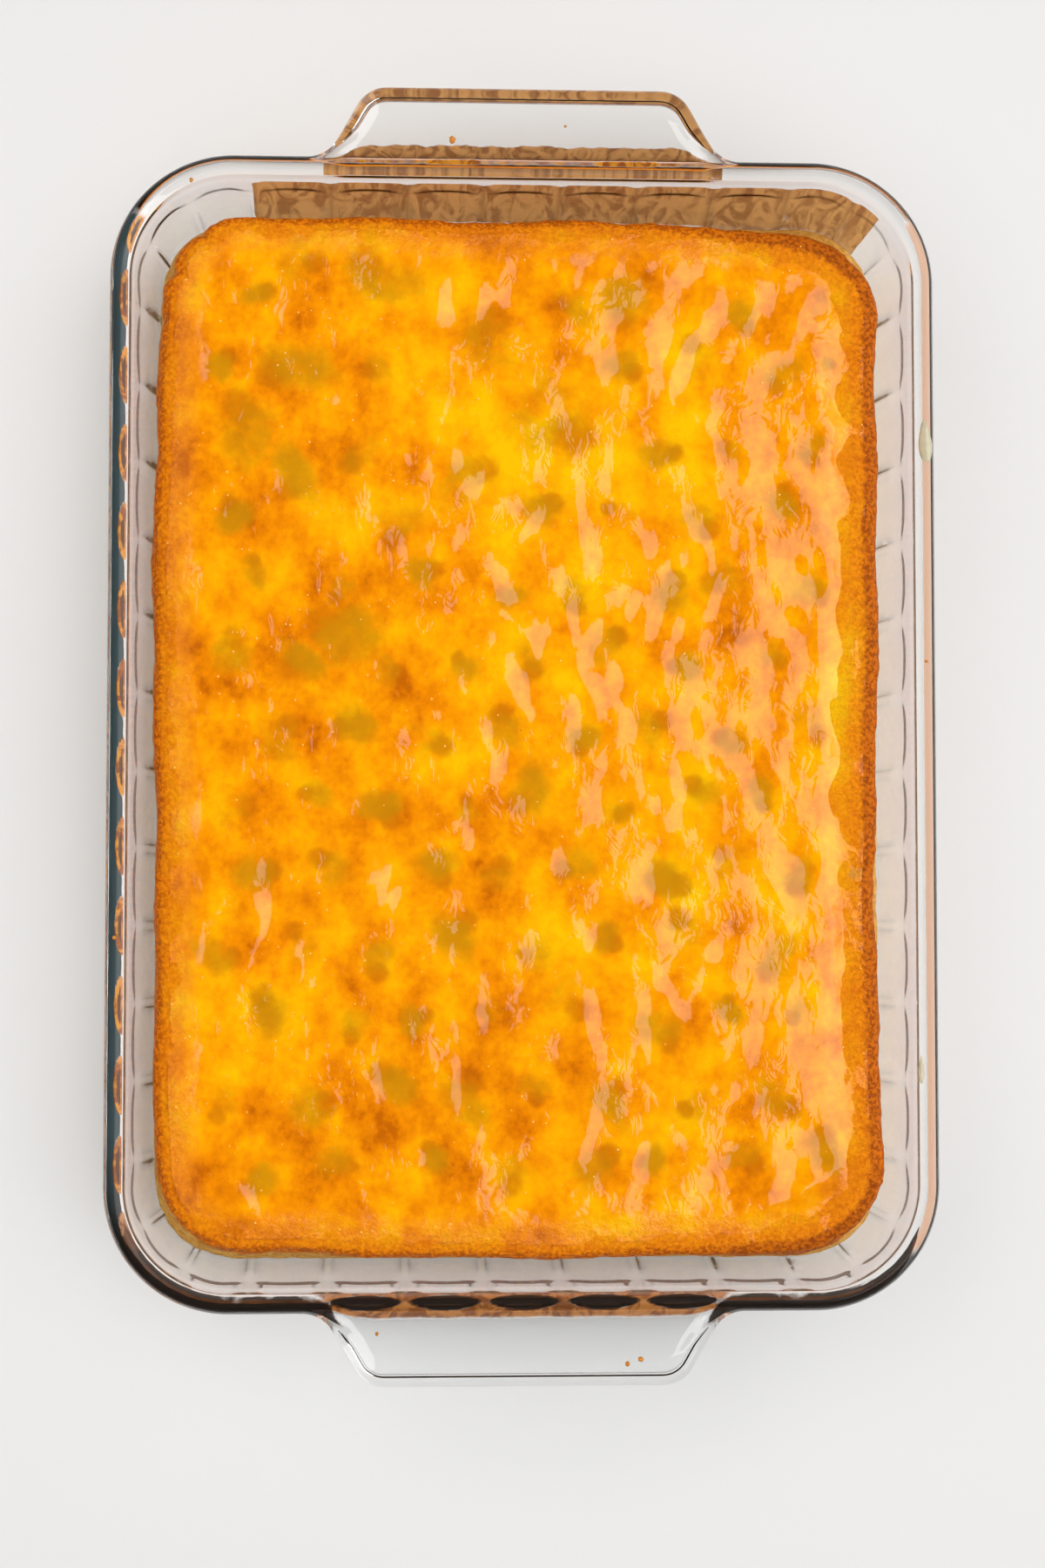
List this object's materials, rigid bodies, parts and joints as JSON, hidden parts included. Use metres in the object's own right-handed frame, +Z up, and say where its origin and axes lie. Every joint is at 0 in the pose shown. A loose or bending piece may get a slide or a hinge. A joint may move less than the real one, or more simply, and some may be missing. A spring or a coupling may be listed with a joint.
{
  "type": "lemon poke cake in a glass baking dish",
  "caption": "Rectangular lemon poke cake under a glossy lemon glaze that fills its poke holes, in a clear fluted glass baking dish with a tab handle at each end.",
  "frame": {"origin": "centre of the dish's flat underside, which is the bottom centre of the whole", "axes": "+Y along the dish towards one tab handle, +X across the dish, +Z up out of the cake"},
  "size_m": [0.24, 0.376, 0.054],
  "materials": {
    "dish_glass": "clear fire-polished pressed glass",
    "cake_sponge": "golden baked crumb, browner at the edge",
    "lemon_glaze": "wet glossy translucent gel"
  },
  "bodies": {
    "root": {"dish": "dish_glass", "cake": "cake_sponge", "lemon_glaze": "lemon_glaze"}
  },
  "joints": []
}
